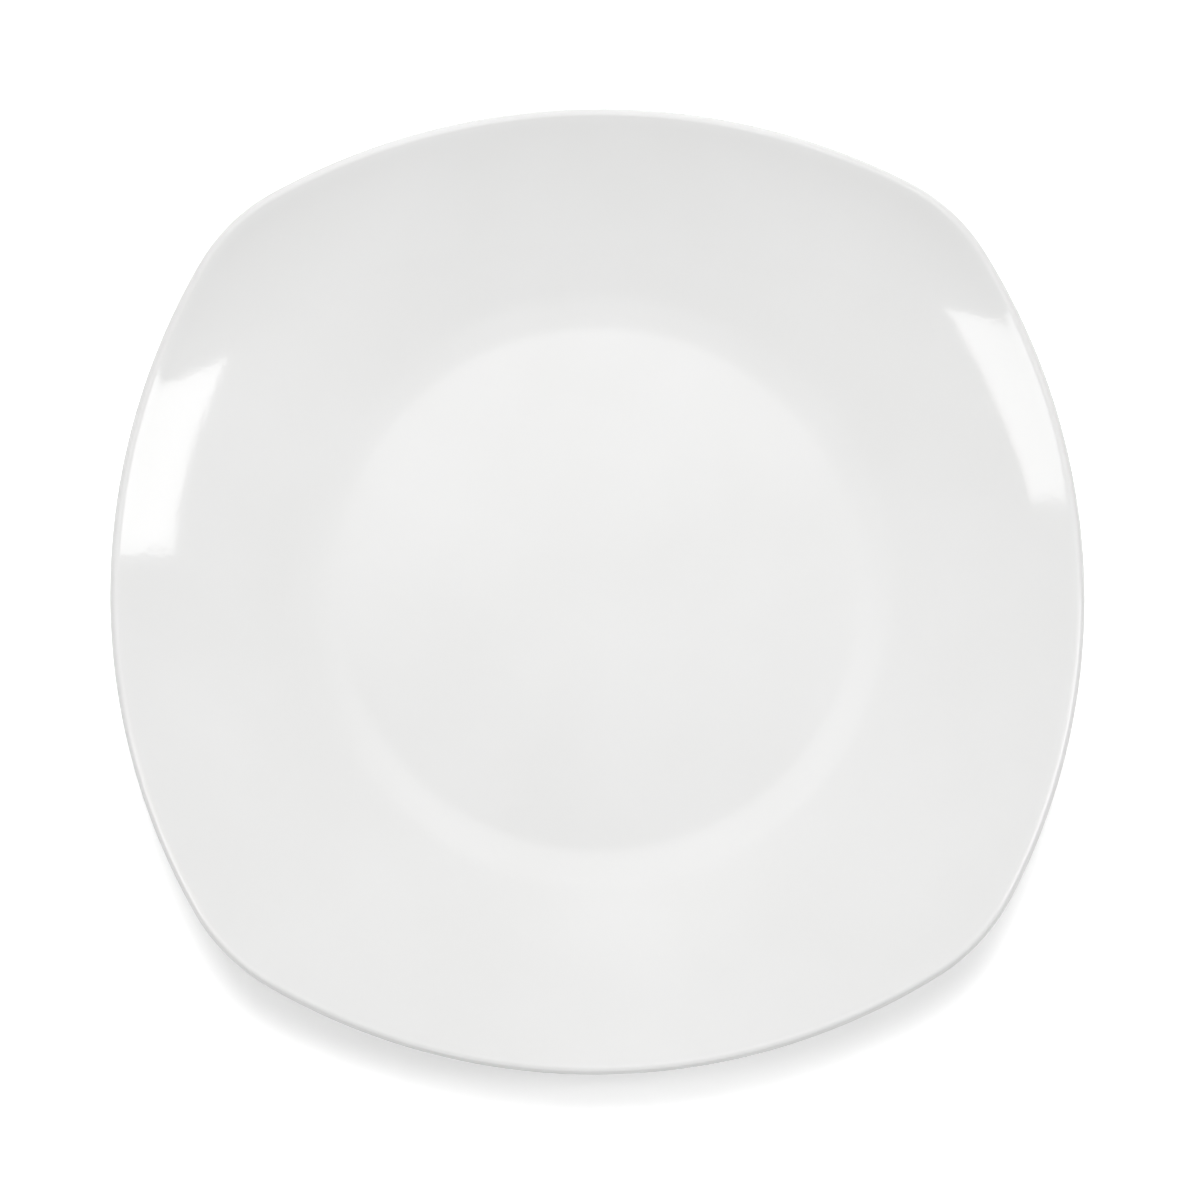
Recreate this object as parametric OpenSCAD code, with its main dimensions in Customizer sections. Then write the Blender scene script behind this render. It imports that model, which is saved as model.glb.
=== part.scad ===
// Square dinner plate with a round well, in glazed porcelain.
// The plate stands on its foot ring at z = 0, centred on the origin, with its well facing up (+Z).
// Its wall is one sweep: every section through the centre runs from the flat floor over a crease and up a
// cove to a narrow band, turns up again into the rim and goes round the lip. Only the rim's length changes
// with direction.

/* [Outline] */
// Width across the middles of two opposite sides
plate_w = 270; // [220:1:320]
// Radius of the bulge of each side
side_r = 175; // [160:1:260]
// Radius of each rounded corner
corner_r = 59; // [30:1:75]

/* [Well] */
// Radius of the flat floor of the well
well_floor_r = 73.2; // [55:0.2:80]
// Radius of the crease, the tight curve at the floor's edge
crease_r = 30; // [10:1:40]
// Slope at which the crease ends, in degrees
crease_slope = 5; // [2:0.5:6]
// Radius of the cove between the crease and the band
cove_r = 50; // [30:1:70]
// Slope of the band round the well, in degrees
band_slope = 8.75; // [6:0.25:12]
// Width of the band, along its slope
band_w = 3; // [1:0.5:6]
// Radius of the turn between the band and the rim
turn_r = 35; // [15:1:50]

/* [Rim] */
// Slope of the inner rim, in degrees
rim_slope = 15.5; // [13:0.5:19]
// Extra height that the rim's outer part curls up by
edge_rise = 3; // [1:0.25:6]
// Power of the curl: a higher one keeps it nearer the edge
edge_power = 3; // [2:1:5]
// Extra height of the corners' curl over that of the sides
corner_lift = 3.25; // [0:0.25:6]

/* [Wall] */
// Thickness of the wall at the well, with its glaze
wall_t = 4.2; // [3.5:0.1:5]
// Thickness of the wall at the lip, which is fully rounded
lip_t = 3.9; // [3:0.1:5]
// Thickness of the glaze
glaze_t = 0.3; // [0.2:0.05:0.5]

/* [Foot] */
// Height of the glazed base above the surface that the plate stands on
foot_h = 3; // [2:0.25:5]
// How far the foot ring's outer wall stands inside the well floor's edge, so that plates stack in each other
foot_in = 2.5; // [2:0.25:10]
// Width of the foot ring
foot_w = 4.6; // [3.5:0.1:7]
// Radius of the foot ring's rounded edges
foot_edge_r = 0.8; // [0.4:0.1:1.2]
// Radius of the fillets between the foot ring and the base
foot_fillet_r = 1.6; // [1:0.1:2]
// Height of the unglazed band at the bottom of the foot ring
bare_h = 1.2; // [0.8:0.1:1.4]

/* [Detail] */
// Steps along each side of the outline
side_steps = 14; // [8:2:18]
// Steps round each corner of the outline
corner_steps = 4; // [2:1:6]

/* [Hidden] */

crease_steps = 1;
cove_steps = 2;
turn_steps = 2;
rim_steps = 8;
lip_steps = 6;
fillet_steps = 3;
foot_steps = 6;
true_circle = 128;

clay = [0.93, 0.91, 0.87];
white_glaze = [0.96, 0.96, 0.95];

// Outline: four side arcs and four corner arcs that meet tangentially. The side arc on +X is centred at
// (side_cx, 0) and the corner arc at (corner_c, corner_c).
half_w = plate_w / 2;
side_cx = half_w - side_r;
centre_gap = side_r - corner_r;
corner_c = (side_cx + sqrt(2 * centre_gap ^ 2 - side_cx ^ 2)) / 2;
tangent_a = asin(corner_c / centre_gap);
tip_r = corner_c * sqrt(2) + corner_r;

side_arc = [
    for (i = [0 : side_steps - 1])
        let (a = tangent_a * (2 * i / side_steps - 1))
        [side_cx + side_r * cos(a), side_r * sin(a)]
];
corner_arc = [
    for (i = [0 : corner_steps - 1])
        let (a = tangent_a + (90 - 2 * tangent_a) * i / corner_steps)
        [corner_c + corner_r * cos(a), corner_c + corner_r * sin(a)]
];

function turned(p, a) = [p.x * cos(a) - p.y * sin(a), p.x * sin(a) + p.y * cos(a)];

outline = [for (a = [0 : 90 : 270]) for (p = concat(side_arc, corner_arc)) turned(p, a)];
columns = len(outline);
directions = [for (p = outline) p / norm(p)];

// Half of the widest turn between neighbouring sections, for rings that must stay outside a true circle
function turn_between(p, q) = acos(p * q);
half_turn = max([for (j = [0 : columns - 1]) turn_between(directions[j], directions[(j + 1) % columns])]) / 2;

// Middle of the wall, as [radius, height, slope, half thickness]. The arcs' radii are the top face's.
mid_z = foot_h + wall_t / 2;

// The point at slope a on an arc that goes on from a point of the middle line
function bend(from, r, a) = [
    from[0] + (r + wall_t / 2) * (sin(a) - sin(from[2])),
    from[1] + (r + wall_t / 2) * (cos(from[2]) - cos(a)),
    a,
    wall_t / 2
];
// The points of such an arc up to slope a, in equal steps, without the one that it starts from
function bends(from, r, a, count) = [
    for (i = [1 : count]) bend(from, r, from[2] + (a - from[2]) * i / count)
];

floor_edge = [well_floor_r, mid_z, 0, wall_t / 2];
crease_end = bend(floor_edge, crease_r, crease_slope);
cove_end = bend(crease_end, cove_r, band_slope);
band_end = cove_end + [band_w * cos(band_slope), band_w * sin(band_slope), 0, 0];
rim_start = bend(band_end, turn_r, rim_slope);
function rim_point(edge_r, s) =
    let (length = edge_r - lip_t / 2 - rim_start[0])
    let (corner_share = (edge_r - half_w) / (tip_r - half_w))
    let (rise = edge_rise + corner_lift * corner_share)
    [
        rim_start[0] + length * s,
        rim_start[1] + length * tan(rim_slope) * s + rise * s ^ edge_power,
        atan(tan(rim_slope) + edge_power * rise * s ^ (edge_power - 1) / length),
        wall_t / 2 + (lip_t - wall_t) / 2 * s
    ];

// Foot ring, as clay: its walls, and the centre lines of the fillets that run from them into the base
base_z = foot_h + glaze_t;
foot_outer_r = well_floor_r - foot_in;
foot_inner_r = foot_outer_r - foot_w;
fillet_z = base_z - foot_fillet_r;

function wall_line(edge_r) = concat(
    [floor_edge],
    bends(floor_edge, crease_r, crease_slope, crease_steps),
    bends(crease_end, cove_r, band_slope, cove_steps),
    [band_end],
    bends(band_end, turn_r, rim_slope, turn_steps),
    [for (i = [1 : rim_steps]) rim_point(edge_r, i / rim_steps)]
);

// A point of the wall's face: depth is how far it lies under the glaze, side is 1 for the top, -1 below
function face_point(m, side, depth) =
    let (h = side * (m[3] - depth))
    [m[0] - h * sin(m[2]), m[1] + h * cos(m[2])];
function lip_point(m, turn, depth) =
    let (h = m[3] - depth)
    [m[0] + h * cos(m[2] + turn), m[1] + h * sin(m[2] + turn)];

// The wall's face from under the floor's edge, round the lip, to the floor's edge, at a depth
function wall_face(edge_r, depth) =
    let (line = wall_line(edge_r))
    let (lip = line[len(line) - 1])
    concat(
        [for (m = line) face_point(m, -1, depth)],
        [for (i = [1 : lip_steps - 1]) lip_point(lip, 180 * i / lip_steps - 90, depth)],
        [for (i = [len(line) - 1 : -1 : 0]) face_point(line[i], 1, depth)]
    );

// The coat's face over the foot ring. Its corners lie far enough out for its flats to clear the round foot.
coat_fillet_r = foot_fillet_r - glaze_t;
spread = 1 / cos(half_turn);
foot_coat = concat(
    [[(foot_outer_r + glaze_t) * spread, bare_h]],
    [for (i = [0 : fillet_steps])
        let (a = 180 - 90 * i / fillet_steps)
        [(foot_outer_r + foot_fillet_r + coat_fillet_r * cos(a)) * spread, fillet_z + coat_fillet_r * sin(a)]]
);
// The coat's inner side starts inside the foot ring, which is then cut from it
foot_middle_r = foot_outer_r - foot_w / 2;
foot_inside = [[foot_middle_r, bare_h], [foot_middle_r, base_z]];

// Rings of points: each section point is carried through every direction of the outline
function rings(sections) = [
    for (i = [0 : len(sections[0]) - 1])
        for (j = [0 : columns - 1])
            let (p = sections[j][i])
            [directions[j].x * p[0], directions[j].y * p[0], p[1]]
];
// Triangles between ring i and ring i + 1, which face outward, or inward where flip is true
function band(first, i, flip) = [
    for (j = [0 : columns - 1])
        let (k = (j + 1) % columns)
        let (a = first + i * columns + j)
        let (b = first + i * columns + k)
        let (c = first + (i + 1) * columns + k)
        let (d = first + (i + 1) * columns + j)
        for (t = flip ? [[a, b, c], [a, c, d]] : [[a, c, b], [a, d, c]]) t
];
function bands(first, count, flip) = [for (i = [0 : count - 2]) for (t = band(first, i, flip)) t];
// Triangles from a ring to a point on the axis
function fan(first, apex, flip) = [
    for (j = [0 : columns - 1])
        let (k = (j + 1) % columns)
        flip ? [first + k, first + j, apex] : [first + j, first + k, apex]
];
// Triangles that join the first rings of two skins
function seam(first, second) = [
    for (j = [0 : columns - 1])
        let (k = (j + 1) % columns)
        for (t = [[first + j, first + k, second + k], [first + j, second + k, second + j]]) t
];

module clay_wall() {
    sections = [for (p = outline) wall_face(norm(p), glaze_t)];
    count = len(sections[0]);
    last = count * columns;
    base = [0, 0, base_z];
    floor_centre = [0, 0, sections[0][count - 1][1]];
    polyhedron(
        points = concat(rings(sections), [base, floor_centre]),
        faces = concat(
            bands(0, count, false),
            fan(0, last, false),
            fan(last - columns, last + 1, true)
        ),
        convexity = 6
    );
}

module foot_ring() {
    rotate_extrude($fn = true_circle)
        polygon(concat(
            [for (i = [0 : foot_steps])
                let (a = 180 + 90 * i / foot_steps)
                [foot_inner_r + foot_edge_r * (1 + cos(a)), foot_edge_r * (1 + sin(a))]],
            [for (i = [0 : foot_steps])
                let (a = 270 + 90 * i / foot_steps)
                [foot_outer_r - foot_edge_r * (1 - cos(a)), foot_edge_r * (1 + sin(a))]],
            [for (i = [0 : fillet_steps])
                let (a = 180 - 90 * i / fillet_steps)
                [foot_outer_r + foot_fillet_r * (1 + cos(a)), fillet_z + foot_fillet_r * sin(a)]],
            [[foot_outer_r + foot_fillet_r, mid_z], [foot_inner_r - foot_fillet_r, mid_z]],
            [for (i = [0 : foot_steps])
                let (a = 90 - 90 * i / foot_steps)
                [foot_inner_r - foot_fillet_r * (1 - cos(a)), fillet_z + foot_fillet_r * sin(a)]]
        ));
}

module porcelain_body() {
    color(clay)
        union() {
            clay_wall();
            foot_ring();
        }
}

module coat_skin() {
    outside = [for (p = outline) concat(foot_coat, wall_face(norm(p), 0))];
    inside = [for (p = outline) concat(foot_inside, wall_face(norm(p), glaze_t))];
    outer_count = len(outside[0]);
    inner_count = len(inside[0]);
    inner_first = outer_count * columns;
    last = inner_first + inner_count * columns;
    top = [0, 0, outside[0][outer_count - 1][1]];
    under = [0, 0, inside[0][inner_count - 1][1]];
    polyhedron(
        points = concat(rings(outside), rings(inside), [top, under]),
        faces = concat(
            bands(0, outer_count, false),
            fan(inner_first - columns, last, true),
            bands(inner_first, inner_count, true),
            fan(last - columns, last + 1, false),
            seam(0, inner_first)
        ),
        convexity = 6
    );
}

module glaze_coat() {
    color(white_glaze)
        difference() {
            coat_skin();
            foot_ring();
        }
}

module base_glaze() {
    color(white_glaze)
        rotate_extrude($fn = true_circle)
            polygon(concat(
                [[0, foot_h]],
                [for (i = [0 : foot_steps])
                    let (a = 90 - 90 * i / foot_steps)
                    let (r = foot_inner_r - foot_fillet_r + coat_fillet_r * cos(a))
                    [r, fillet_z + coat_fillet_r * sin(a)]],
                [[foot_inner_r - glaze_t, bare_h], [foot_inner_r, bare_h]],
                [for (i = [foot_steps : -1 : 0])
                    let (a = 90 - 90 * i / foot_steps)
                    [foot_inner_r - foot_fillet_r * (1 - cos(a)), fillet_z + foot_fillet_r * sin(a)]],
                [[0, base_z]]
            ));
}

porcelain_body();
glaze_coat();
base_glaze();
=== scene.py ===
# %% [markdown]
# # A square dinner plate in white glazed porcelain
# The plate is a soft square with bulging sides, a round well and a lip that is rounded all the way
# over. On the real one a white clay body carries a skin of glass, and only the ring that it stands
# on is bare. Here the body and the two skins are three pieces, each turned from its own section, as
# on a potter's wheel. The body and the upper skin are then pulled out into a square.

# %% Start
import math

import bpy
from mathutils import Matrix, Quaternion, Vector


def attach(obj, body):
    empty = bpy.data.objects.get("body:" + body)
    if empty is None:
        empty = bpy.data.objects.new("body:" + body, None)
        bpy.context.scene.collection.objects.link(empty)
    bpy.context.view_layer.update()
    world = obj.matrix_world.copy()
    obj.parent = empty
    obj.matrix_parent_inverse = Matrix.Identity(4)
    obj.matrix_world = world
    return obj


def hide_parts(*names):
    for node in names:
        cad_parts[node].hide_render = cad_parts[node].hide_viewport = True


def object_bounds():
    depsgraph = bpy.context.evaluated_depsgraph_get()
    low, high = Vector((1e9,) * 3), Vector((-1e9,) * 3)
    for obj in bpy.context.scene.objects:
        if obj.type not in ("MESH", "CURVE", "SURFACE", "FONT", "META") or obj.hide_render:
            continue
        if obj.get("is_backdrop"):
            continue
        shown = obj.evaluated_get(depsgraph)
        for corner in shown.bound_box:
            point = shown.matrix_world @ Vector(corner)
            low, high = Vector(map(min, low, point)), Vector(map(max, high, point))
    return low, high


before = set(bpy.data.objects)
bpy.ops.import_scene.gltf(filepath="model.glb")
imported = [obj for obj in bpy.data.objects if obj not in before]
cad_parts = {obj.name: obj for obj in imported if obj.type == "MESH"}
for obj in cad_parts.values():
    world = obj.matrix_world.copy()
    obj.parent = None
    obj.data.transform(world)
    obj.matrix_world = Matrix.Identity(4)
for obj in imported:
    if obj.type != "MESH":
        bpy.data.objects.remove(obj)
cad_low, cad_high = (Vector(corner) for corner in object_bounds())
MM = 0.001
print("nodes", sorted(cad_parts), "box in mm", [round(v / MM, 1) for v in cad_high - cad_low])

# %% [markdown]
# ## The plate's own sizes
# A plate is drawn from few sizes: how wide it is, how its outline bulges, where the well ends, how
# the rim climbs and how thick the wall is. They could be read off a mesh, but named sizes keep
# every section readable. The widest size comes from the frame, and the others repeat the sizes of
# the construction, in metres.

# %% Sizes
HALF_W = cad_high.x
SIDE_R = 175 * MM
CORNER_R = 59 * MM
WELL_FLOOR_R = 73.2 * MM
CREASE_R = 30 * MM
CREASE_SLOPE = math.radians(5)
COVE_R = 50 * MM
BAND_SLOPE = math.radians(8.75)
BAND_W = 3 * MM
TURN_R = 35 * MM
RIM_SLOPE = math.radians(15.5)
EDGE_RISE = 3 * MM
EDGE_POWER = 3
CORNER_LIFT = 3.25 * MM
WALL_T = 4.2 * MM
LIP_T = 3.9 * MM
GLAZE_T = 0.3 * MM
FOOT_H = 3 * MM
FOOT_IN = 2.5 * MM
FOOT_W = 4.6 * MM
FOOT_EDGE_R = 0.8 * MM
FOOT_FILLET_R = 1.6 * MM
BARE_H = 1.2 * MM

MID_Z = FOOT_H + WALL_T / 2
BASE_Z = FOOT_H + GLAZE_T
FLOOR_Z = FOOT_H + WALL_T
FOOT_OUTER_R = WELL_FLOOR_R - FOOT_IN
FOOT_INNER_R = FOOT_OUTER_R - FOOT_W
print("well floor at", round(FLOOR_Z / MM, 2), "mm, foot ring", round(2 * FOOT_OUTER_R / MM), "mm across")

# %% [markdown]
# ## The outline as a formula
# The outline is four side arcs that meet four corner arcs without a kink. It could be a
# superellipse, but the real edge follows arcs more closely, and arcs have radii that a maker can
# name. The function gives the distance from the centre to the edge in any direction, which is all
# that the squaring step needs.

# %% Outline
SIDE_X = HALF_W - SIDE_R
ARC_GAP = SIDE_R - CORNER_R
CORNER_C = (SIDE_X + math.sqrt(2 * ARC_GAP**2 - SIDE_X**2)) / 2
TANGENT_A = math.asin(CORNER_C / ARC_GAP)
TANGENT_TURN = math.atan2(SIDE_R * math.sin(TANGENT_A), SIDE_X + SIDE_R * math.cos(TANGENT_A))
TIP_R = CORNER_C * math.sqrt(2) + CORNER_R


def edge_distance(angle):
    """Distance from the centre to the outline, in the direction of the angle."""
    turn = angle % (math.pi / 2)
    turn = min(turn, math.pi / 2 - turn)
    if turn < TANGENT_TURN:
        centre_x, centre_y, arc_r = SIDE_X, 0, SIDE_R
    else:
        centre_x, centre_y, arc_r = CORNER_C, CORNER_C, CORNER_R
    along = centre_x * math.cos(turn) + centre_y * math.sin(turn)
    return along + math.sqrt(along**2 - centre_x**2 - centre_y**2 + arc_r**2)


print("corner tip at", round(TIP_R / MM, 2), "mm, side middle at", round(edge_distance(0) / MM, 2), "mm")

# %% [markdown]
# ## The wall's middle line
# Cut through the middle of a side, the wall is one ribbon: flat floor, crease, cove, narrow band,
# rim and round lip. Both faces could be drawn by hand, but then the wall would be thick in one
# place and thin in another. So the line through the wall's middle comes first, as a list of points
# with a slope and a half thickness.

# %% Middle line of the wall
CREASE_STEPS = 5
COVE_STEPS = 6
TURN_STEPS = 8
RIM_STEPS = 26


def steps(count, first=0):
    """Shares from 0 to 1 in equal steps."""
    return [i / count for i in range(first, count + 1)]


def bends(start, face_radius, end_slope, count):
    """Points of an arc that goes on from the last one of the middle line, up to a slope."""
    radius, height, slope, half = start
    middle = face_radius + half
    points = []
    for share in steps(count, 1):
        turned = slope + (end_slope - slope) * share
        run = middle * (math.sin(turned) - math.sin(slope))
        climb = middle * (math.cos(slope) - math.cos(turned))
        points.append((radius + run, height + climb, turned, half))
    return points


wall_line = [(WELL_FLOOR_R, MID_Z, 0, WALL_T / 2)]
wall_line += bends(wall_line[-1], CREASE_R, CREASE_SLOPE, CREASE_STEPS)
wall_line += bends(wall_line[-1], COVE_R, BAND_SLOPE, COVE_STEPS)
cove_end_r, cove_end_z = wall_line[-1][:2]
band_run, band_climb = BAND_W * math.cos(BAND_SLOPE), BAND_W * math.sin(BAND_SLOPE)
wall_line.append((cove_end_r + band_run, cove_end_z + band_climb, BAND_SLOPE, WALL_T / 2))
wall_line += bends(wall_line[-1], TURN_R, RIM_SLOPE, TURN_STEPS)
RIM_R, RIM_Z = wall_line[-1][:2]
RIM_LENGTH = HALF_W - LIP_T / 2 - RIM_R


def rim_point(share):
    """The middle line's point at a share of the rim. The rim curls up and thins towards the lip."""
    height = RIM_Z + RIM_LENGTH * math.tan(RIM_SLOPE) * share + EDGE_RISE * share**EDGE_POWER
    slope = math.atan(math.tan(RIM_SLOPE) + EDGE_POWER * EDGE_RISE * share ** (EDGE_POWER - 1) / RIM_LENGTH)
    return RIM_R + RIM_LENGTH * share, height, slope, WALL_T / 2 + (LIP_T - WALL_T) / 2 * share


wall_line += [rim_point(s) for s in steps(RIM_STEPS, 1)]
LIP_Z = wall_line[-1][1]
print("middle line has", len(wall_line), "points and ends", round(LIP_Z / MM, 2), "mm up")

# %% [markdown]
# ## Two faces from one line
# Each face lies off the middle line by the half thickness, square to the slope. Drawing both from
# one line keeps the wall even, which is what a plate maker's template does. The same functions also
# give the clay's faces under the glaze, because they can stop short of the open face by any depth.

# %% Faces of the wall and of the foot
LIP_STEPS = 14
FILLET_STEPS = 5


def face_point(point, side, depth):
    """A point of the wall's face. It lies depth under the glaze, and side is 1 on top and -1 below."""
    radius, height, slope, half = point
    offset = side * (half - depth)
    return radius - offset * math.sin(slope), height + offset * math.cos(slope)


def lip_point(turn, depth):
    """A point of the round lip: the turn is 0 straight out along the rim's slope."""
    radius, height, slope, half = wall_line[-1]
    return radius + (half - depth) * math.cos(slope + turn), height + (half - depth) * math.sin(slope + turn)


def wall_face(depth):
    """From under the well floor's edge, out, round the lip and back to the floor's edge."""
    under = [face_point(p, -1, depth) for p in wall_line]
    lip = [lip_point(math.pi * (s - 0.5), depth) for s in steps(LIP_STEPS, 1)[:-1]]
    return under + lip + [face_point(p, 1, depth) for p in reversed(wall_line)]


def arc(centre, radius, first, last):
    """Points of an arc, its ends included, with the angles in degrees."""
    angles = [math.radians(first + (last - first) * s) for s in steps(FILLET_STEPS)]
    return [(centre[0] + radius * math.cos(a), centre[1] + radius * math.sin(a)) for a in angles]


FILLET_Z = BASE_Z - FOOT_FILLET_R
OUTER_FILLET = (FOOT_OUTER_R + FOOT_FILLET_R, FILLET_Z)
INNER_FILLET = (FOOT_INNER_R - FOOT_FILLET_R, FILLET_Z)
COAT_FILLET_R = FOOT_FILLET_R - GLAZE_T
BEAD_R = GLAZE_T / 2
print("open face has", len(wall_face(0)), "points, and a bead's radius is", round(BEAD_R / MM, 2), "mm")

# %% [markdown]
# ## Three sections
# The clay's section holds the foot ring. Each glaze is a closed loop of its own, thin as an
# eggshell, with one face on the clay and one in the open. A glaze doesn't end square on the foot:
# it is wiped, melts and draws up into a small round bead, so both loops end in a half circle.

# %% Sections
clay_section = (
    [(0, BASE_Z)]
    + arc(INNER_FILLET, FOOT_FILLET_R, 90, 0)
    + arc((FOOT_INNER_R + FOOT_EDGE_R, FOOT_EDGE_R), FOOT_EDGE_R, 180, 270)
    + arc((FOOT_OUTER_R - FOOT_EDGE_R, FOOT_EDGE_R), FOOT_EDGE_R, 270, 360)
    + arc(OUTER_FILLET, FOOT_FILLET_R, 180, 90)
    + wall_face(GLAZE_T)
    + [(0, FLOOR_Z - GLAZE_T)]
)
coat_section = (
    arc((FOOT_OUTER_R + BEAD_R, BARE_H + BEAD_R), BEAD_R, 180, 360)
    + arc(OUTER_FILLET, COAT_FILLET_R, 180, 90)
    + wall_face(0)
    + [(0, FLOOR_Z), (0, FLOOR_Z - GLAZE_T)]
    + wall_face(GLAZE_T)[::-1]
    + arc(OUTER_FILLET, FOOT_FILLET_R, 90, 180)
)
base_section = (
    [(0, BASE_Z), (0, FOOT_H)]
    + arc(INNER_FILLET, COAT_FILLET_R, 90, 0)
    + arc((FOOT_INNER_R - BEAD_R, BARE_H + BEAD_R), BEAD_R, 180, 360)
    + arc(INNER_FILLET, FOOT_FILLET_R, 0, 90)
)
print("section points", len(clay_section), len(coat_section), len(base_section))

# %% [markdown]
# ## Turning a section
# A round thing is best turned: its section is spun about the axis. The section could be typed in as
# a mesh, but a circle primitive is already a closed loop with a vertex for each point, so its
# vertices are laid on the section and the spin operator does the rest. The edge that lies on the
# axis goes first, or it would leave a wire inside.

# %% Turn
COLUMNS = 240
FULL_TURN = 2 * math.pi
WELD = MM / 1000


def deselect_all():
    bpy.ops.object.select_all(action="DESELECT")


def turn_section(name, section):
    """A closed mesh of revolution, with its faces out."""
    deselect_all()
    bpy.ops.mesh.primitive_circle_add(vertices=len(section), radius=HALF_W, fill_type="NOTHING")
    piece = bpy.context.object
    piece.name = piece.data.name = name
    mesh = piece.data
    for vertex, (radius, height) in zip(mesh.vertices, section):
        vertex.co = (radius, 0, height)
    bpy.ops.object.mode_set(mode="EDIT")
    bpy.ops.mesh.select_all(action="DESELECT")
    bpy.ops.mesh.select_mode(type="EDGE")
    bpy.ops.object.mode_set(mode="OBJECT")
    for edge in mesh.edges:
        edge.select = all(mesh.vertices[v].co.x < WELD for v in edge.vertices)
    bpy.ops.object.mode_set(mode="EDIT")
    bpy.ops.mesh.delete(type="EDGE")
    bpy.ops.mesh.select_all(action="SELECT")
    bpy.ops.mesh.spin(steps=COLUMNS, angle=FULL_TURN, center=(0, 0, 0), axis=(0, 0, 1), use_auto_merge=False)
    bpy.ops.mesh.select_all(action="SELECT")
    bpy.ops.mesh.remove_doubles(threshold=WELD)
    bpy.ops.mesh.normals_make_consistent(inside=False)
    bpy.ops.object.mode_set(mode="OBJECT")
    return piece


# %% [markdown]
# ## From round to square
# The wheel gives a round plate that is as wide as the square one is across its sides. Its rim is
# then pulled outward towards the corners. A lattice or a sculpt brush could do that, but a rule
# keeps the lip round and the wall even: a point moves by its share of the rim, from nothing at the
# well to all of it at the lip, and it climbs with the rim.

# %% Square the rim
SMOOTH_ANGLE = math.radians(50)


def pull_square(piece):
    """Moves each point of the rim out and up, as the outline stands out from the circle there."""
    for vertex in piece.data.vertices:
        radius = math.hypot(vertex.co.x, vertex.co.y)
        share = min(1, max(0, (radius - RIM_R) / RIM_LENGTH))
        if not share:
            continue
        out = Vector((vertex.co.x / radius, vertex.co.y / radius, 0))
        stretch = edge_distance(math.atan2(out.y, out.x)) - HALF_W
        lift = CORNER_LIFT * stretch / (TIP_R - HALF_W)
        vertex.co += out * stretch * share
        vertex.co.z += stretch * share * math.tan(RIM_SLOPE) + lift * share**EDGE_POWER


def finish_piece(piece, node):
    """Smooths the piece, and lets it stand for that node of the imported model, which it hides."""
    deselect_all()
    piece.select_set(True)
    bpy.context.view_layer.objects.active = piece
    bpy.ops.object.shade_smooth_by_angle(angle=SMOOTH_ANGLE)
    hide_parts(node)
    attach(piece, "root")
    print(piece.name, "has", len(piece.data.polygons), "faces")


# %% Body and glazes
plate_body = turn_section("plate_body", clay_section)
pull_square(plate_body)
finish_piece(plate_body, "porcelain_body")

plate_glaze = turn_section("plate_glaze", coat_section)
pull_square(plate_glaze)
finish_piece(plate_glaze, "glaze_coat")

underside_glaze = turn_section("underside_glaze", base_section)
finish_piece(underside_glaze, "base_glaze")

# %% [markdown]
# ## Glaze
# Porcelain glaze is clear glass over white clay: a smooth, shiny top that still shows a faint
# orange peel where a light is mirrored in it, and a white that is never quite even. An image could
# carry both, but noise on Object coordinates stays put on the plate, needs no file and has no seam.
# The sizes are real ones: a scale of 70 is 70 waves to the metre, so each is about 14 mm long.

# %% Node helpers
NOISE_LOW = 0.3
NOISE_HIGH = 0.7


def new_material(name):
    material = bpy.data.materials.new(name)
    material.use_nodes = True
    tree = material.node_tree
    return material, tree, tree.nodes["Principled BSDF"]


def noise(tree, scale, detail=2):
    """A noise on Object coordinates. One unit of scale is one wave to the metre."""
    place = tree.nodes.new("ShaderNodeTexCoord")
    texture = tree.nodes.new("ShaderNodeTexNoise")
    texture.inputs["Scale"].default_value = scale
    texture.inputs["Detail"].default_value = detail
    tree.links.new(place.outputs["Object"], texture.inputs["Vector"])
    return texture.outputs["Fac"]


def ramp(tree, value, low, high, first, last):
    """Blends two colours as the value goes from first to last."""
    blend = tree.nodes.new("ShaderNodeValToRGB")
    ends = blend.color_ramp.elements
    ends[0].position, ends[0].color = first, (*low, 1)
    ends[1].position, ends[1].color = last, (*high, 1)
    tree.links.new(value, blend.inputs["Fac"])
    return blend.outputs["Color"]


def spread(tree, value, low, high):
    """Maps noise, which lies mostly round a half, to the range from low to high."""
    scale = tree.nodes.new("ShaderNodeMapRange")
    scale.inputs["From Min"].default_value = NOISE_LOW
    scale.inputs["From Max"].default_value = NOISE_HIGH
    scale.inputs["To Min"].default_value = low
    scale.inputs["To Max"].default_value = high
    tree.links.new(value, scale.inputs["Value"])
    return scale.outputs["Result"]


def bump(tree, height, depth, under=None):
    """A bump of that depth in metres, laid over another one if there is one."""
    relief = tree.nodes.new("ShaderNodeBump")
    relief.inputs["Strength"].default_value = 1
    relief.inputs["Distance"].default_value = depth
    tree.links.new(height, relief.inputs["Height"])
    if under:
        tree.links.new(under, relief.inputs["Normal"])
    return relief.outputs["Normal"]


def give_finish(material, *pieces):
    """The pieces wear this material and no other."""
    for piece in pieces:
        piece.data.materials.clear()
        piece.data.materials.append(material)
    print(material.name, "is on", [piece.name for piece in pieces])


# %% Glaze material
SHADE_WAVES = 18
SHADE_RANGE = (0.35, 0.65)
GLAZE_DULL = (0.865, 0.865, 0.858)
GLAZE_BRIGHT = (0.885, 0.885, 0.88)
SHINE_WAVES = 40
GLAZE_ROUGHNESS = (0.045, 0.075)
SAG_WAVES = 70
SAG_DEPTH = 0.03 * MM
PEEL_WAVES = 650
PEEL_DEPTH = 0.008 * MM
GLAZE_IOR = 1.6

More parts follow.
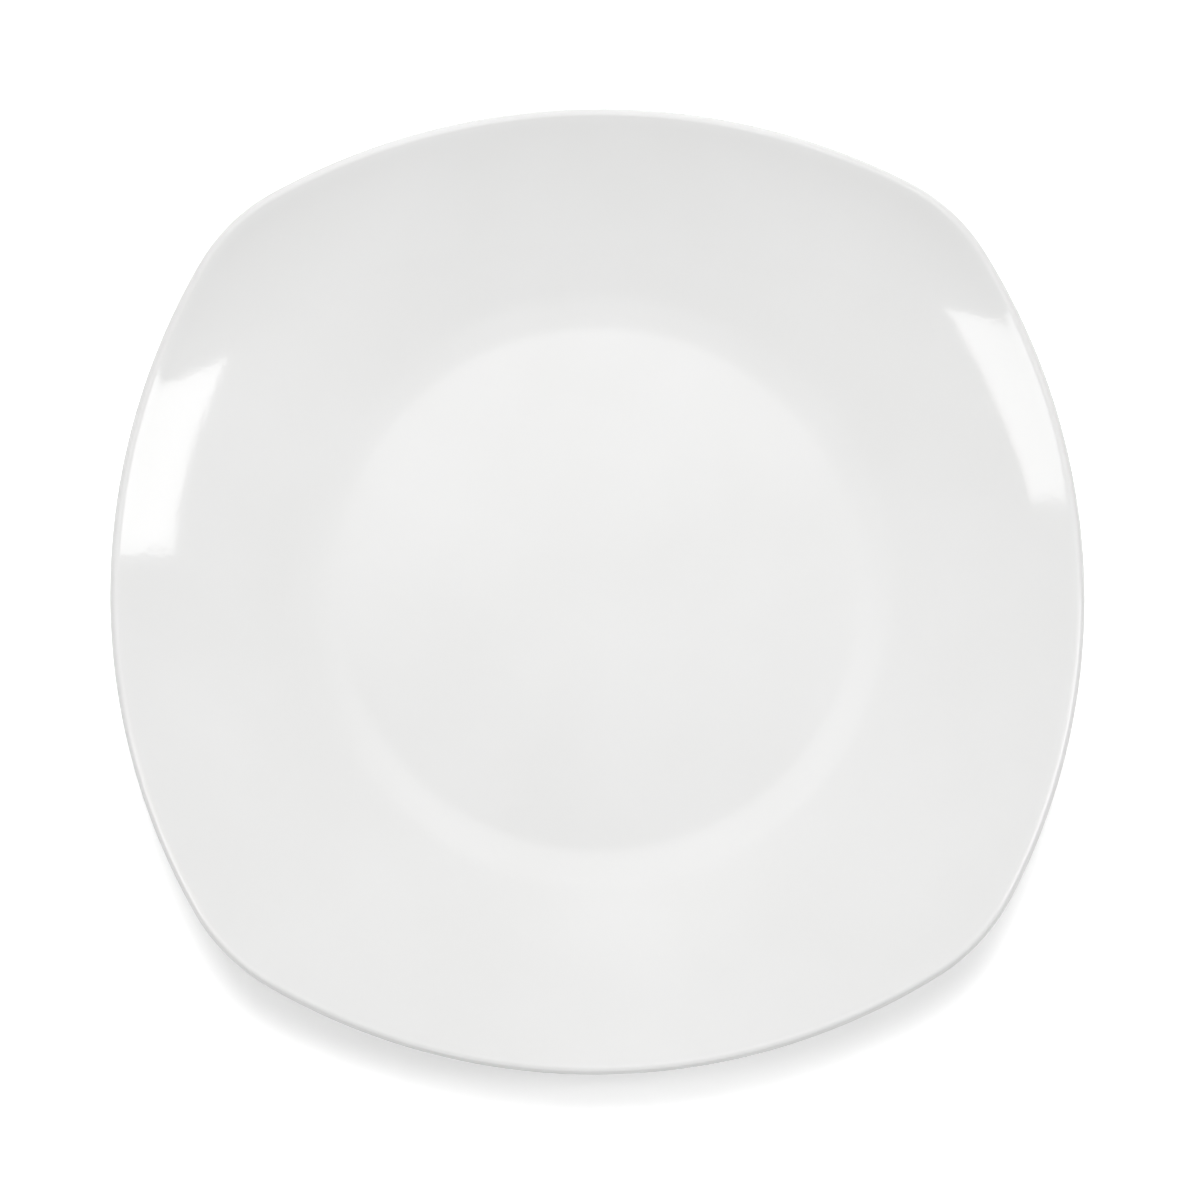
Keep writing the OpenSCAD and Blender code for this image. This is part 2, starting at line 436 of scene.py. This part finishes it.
glaze, tree, shader = new_material("white_glaze")
white = ramp(tree, noise(tree, SHADE_WAVES), GLAZE_DULL, GLAZE_BRIGHT, *SHADE_RANGE)
tree.links.new(white, shader.inputs["Base Color"])
shine = spread(tree, noise(tree, SHINE_WAVES), *GLAZE_ROUGHNESS)
tree.links.new(shine, shader.inputs["Roughness"])
sag = bump(tree, noise(tree, SAG_WAVES, detail=1), SAG_DEPTH)
peel = bump(tree, noise(tree, PEEL_WAVES, detail=1), PEEL_DEPTH, sag)
tree.links.new(peel, shader.inputs["Normal"])
shader.inputs["IOR"].default_value = GLAZE_IOR
give_finish(glaze, plate_glaze, underside_glaze)

# %% [markdown]
# ## Bare clay
# The standing ring is biscuit porcelain, fired but unglazed: matte, a little warmer than the glaze,
# and finely gritty where it was turned and rubbed down. One plain colour would look like plastic,
# so it has a coarse roughness, grit in the bump and a few darker specks.

# %% Clay material
SPECK_WAVES = 900
SPECK_RANGE = (0.32, 0.45)
SPECK_COLOUR = (0.7, 0.67, 0.62)
CLAY_COLOUR = (0.84, 0.82, 0.78)
RUB_WAVES = 300
CLAY_ROUGHNESS = (0.75, 0.9)
GRIT_WAVES = 2600
GRIT_DEPTH = 0.05 * MM

clay, tree, shader = new_material("bare_clay")
speckled = ramp(tree, noise(tree, SPECK_WAVES, detail=3), SPECK_COLOUR, CLAY_COLOUR, *SPECK_RANGE)
tree.links.new(speckled, shader.inputs["Base Color"])
rubbed = spread(tree, noise(tree, RUB_WAVES), *CLAY_ROUGHNESS)
tree.links.new(rubbed, shader.inputs["Roughness"])
grit = bump(tree, noise(tree, GRIT_WAVES, detail=3), GRIT_DEPTH)
tree.links.new(grit, shader.inputs["Normal"])
give_finish(clay, plate_body)

# %% [markdown]
# ## Floor
# The plate lies on plain white paper. A background that isn't lit at all would lose the plate's
# shadow, so the paper is a real floor under the same lamps. To the camera, and where the glaze
# mirrors it, the paper counts as brighter than it is, which turns the open ground white. To all
# other rays it is ordinary paper, so it throws no more light up at the plate than paper does.

# %% Floor
FLOOR_SIZE = 12
PAPER_TONE = (0.8, 0.8, 0.8)
PAPER_SEEN = (1.5, 1.5, 1.5)
deselect_all()
bpy.ops.mesh.primitive_plane_add(size=FLOOR_SIZE, location=(0, 0, 0))
floor = bpy.context.object
floor.name = "floor"
paper, tree, shader = new_material("white_paper")
shader.inputs["Roughness"].default_value = 1
shader.inputs["Specular IOR Level"].default_value = 0
rays = tree.nodes.new("ShaderNodeLightPath")
seen = tree.nodes.new("ShaderNodeMath")
seen.operation = "MAXIMUM"
tree.links.new(rays.outputs["Is Camera Ray"], seen.inputs[0])
tree.links.new(rays.outputs["Is Glossy Ray"], seen.inputs[1])
tone = ramp(tree, seen.outputs["Value"], PAPER_TONE, PAPER_SEEN, 0, 1)
tree.links.new(tone, shader.inputs["Base Color"])
give_finish(paper, floor)
floor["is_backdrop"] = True

# %% [markdown]
# ## Room
# A white room lights the plate from all sides. Glaze mirrors what is above it, and an even room
# would hide the shape of a plate that is white all over. So a soft round patch hangs overhead and a
# little behind, where the well's floor and the near side of its band mirror it. A wide faint patch
# and one on each side, which the rest of the band mirrors, are weaker. The changes of tone between
# them are what makes the ring visible.

# %% Room
ROOM_LIGHT = 0.138
# Each patch lies so many degrees right of the vertical and behind it, and fades from core to edge
GLOWS = {
    "overhead": {"right": -2, "behind": 18.5, "core": 4, "edge": 15.5, "strength": 0.72},
    "wide": {"right": 0, "behind": -4, "core": 10, "edge": 28, "strength": 0.08},
    "left": {"right": -27, "behind": -16, "core": 3, "edge": 18, "strength": 0.31},
    "right": {"right": 27, "behind": -16, "core": 3, "edge": 18, "strength": 0.46},
}

world = bpy.data.worlds.new("studio")
bpy.context.scene.world = world
world.use_nodes = True
sky = world.node_tree


def add_glow(total, right, behind, core, edge, strength):
    """Adds a soft round patch to the light so far, which starts as the room's even light."""
    place = sky.nodes.new("ShaderNodeTexCoord")
    nearness = sky.nodes.new("ShaderNodeVectorMath")
    nearness.operation = "DOT_PRODUCT"
    middle = Vector((math.tan(math.radians(right)), math.tan(math.radians(behind)), 1))
    nearness.inputs[1].default_value = middle.normalized()
    sky.links.new(place.outputs["Generated"], nearness.inputs[0])
    fade = sky.nodes.new("ShaderNodeMapRange")
    fade.interpolation_type = "SMOOTHSTEP"
    fade.inputs["From Min"].default_value = math.cos(math.radians(edge))
    fade.inputs["From Max"].default_value = math.cos(math.radians(core))
    fade.inputs["To Max"].default_value = strength
    sky.links.new(nearness.outputs["Value"], fade.inputs["Value"])
    add = sky.nodes.new("ShaderNodeMath")
    sky.links.new(fade.outputs["Result"], add.inputs[0])
    if total is None:
        add.inputs[1].default_value = ROOM_LIGHT
    else:
        sky.links.new(total, add.inputs[1])
    return add.outputs["Value"]


room_strength = None
for glow in GLOWS.values():
    room_strength = add_glow(room_strength, **glow)
background = sky.nodes["Background"]
background.inputs["Color"].default_value = (1, 1, 1, 1)
sky.links.new(room_strength, background.inputs["Strength"])
print("room light", ROOM_LIGHT, "with", len(GLOWS), "soft patches")

# %% [markdown]
# ## Lamps
# One lamp behind the plate would throw a shadow of one length. Three behind it, at different
# heights, throw one to the front that fades with distance, and a fourth in front lightens it. All
# four are kept out of the glaze's reflections, where the room's own patches stand for them. Two low
# strips, behind and in front, are mirrored in the round lip. Two softboxes, left and right, are
# mirrored where the rim turns up: the left one shows on the right rim, and the right one on the
# left.

# %% Lamps
PLATE_TOP = Vector((0, 0, cad_high.z))


def softbox(name, place, width, length, power, mirrored=True):
    """A rectangular lamp that faces the plate, in metres and watts."""
    light = bpy.data.lights.new(name, "AREA")
    light.shape, light.size, light.size_y, light.energy = "RECTANGLE", width, length, power
    lamp = bpy.data.objects.new(name, light)
    lamp.location = place
    lamp.rotation_mode = "QUATERNION"
    lamp.rotation_quaternion = (PLATE_TOP - Vector(place)).to_track_quat("-Z", "Y")
    lamp.visible_glossy = mirrored
    bpy.context.collection.objects.link(lamp)


softbox("high_lamp", place=(0, 0.34, 1.26), width=0.5, length=0.5, power=1.9, mirrored=False)
softbox("middle_lamp", place=(0, 1.1, 1.9), width=0.85, length=0.85, power=14.8, mirrored=False)
softbox("back_lamp", place=(0, 0.92, 0.92), width=0.5, length=0.5, power=2.5, mirrored=False)
softbox("front_lamp", place=(0, -0.65, 1.13), width=0.6, length=0.6, power=1.85, mirrored=False)
softbox("back_strip", place=(0, 1.13, 0.65), width=0.6, length=0.3, power=0.8)
softbox("front_strip", place=(0, -1.0, 0.84), width=0.6, length=0.3, power=0.9)
softbox("right_box", place=(0.57, -0.01, 0.81), width=0.22, length=0.44, power=1.1)
softbox("left_box", place=(-0.575, -0.08, 0.81), width=0.24, length=0.4, power=0.93)

# %% [markdown]
# ## Camera
# The photograph looks almost straight down from close by, leaning a little to the front, so the far
# half of the plate is smaller than the near half. Distance, lean and lens could be guessed, but
# fitting the plate's outline is surer: with the right set, the near and the far edge are both as
# wide as in the photograph.

# %% Camera
# Lens and sensor are in millimetres, as Blender has them, and the distance is in metres
LENS = 63.4
SENSOR_W = 36
CAMERA_DISTANCE = 0.586
CAMERA_LEAN = math.radians(7.75)
CAMERA_ROLL = math.radians(-0.41)
AIM = Vector((0.67 * MM, -6.1 * MM, LIP_Z))

camera_data = bpy.data.cameras.new("camera")
camera_data.lens = LENS
camera_data.sensor_width = SENSOR_W
camera = bpy.data.objects.new("camera", camera_data)
camera.location = (
    0,
    -CAMERA_DISTANCE * math.sin(CAMERA_LEAN),
    LIP_Z + CAMERA_DISTANCE * math.cos(CAMERA_LEAN),
)
aim_turn = (AIM - camera.location).to_track_quat("-Z", "Y")
camera.rotation_mode = "QUATERNION"
camera.rotation_quaternion = aim_turn @ Quaternion((0, 0, 1), CAMERA_ROLL)
bpy.context.collection.objects.link(camera)
bpy.context.scene.camera = camera
bpy.context.scene.view_settings.view_transform = "Standard"
print("lip at", round(LIP_Z / MM, 2), "mm, camera at", [round(v, 3) for v in camera.location])
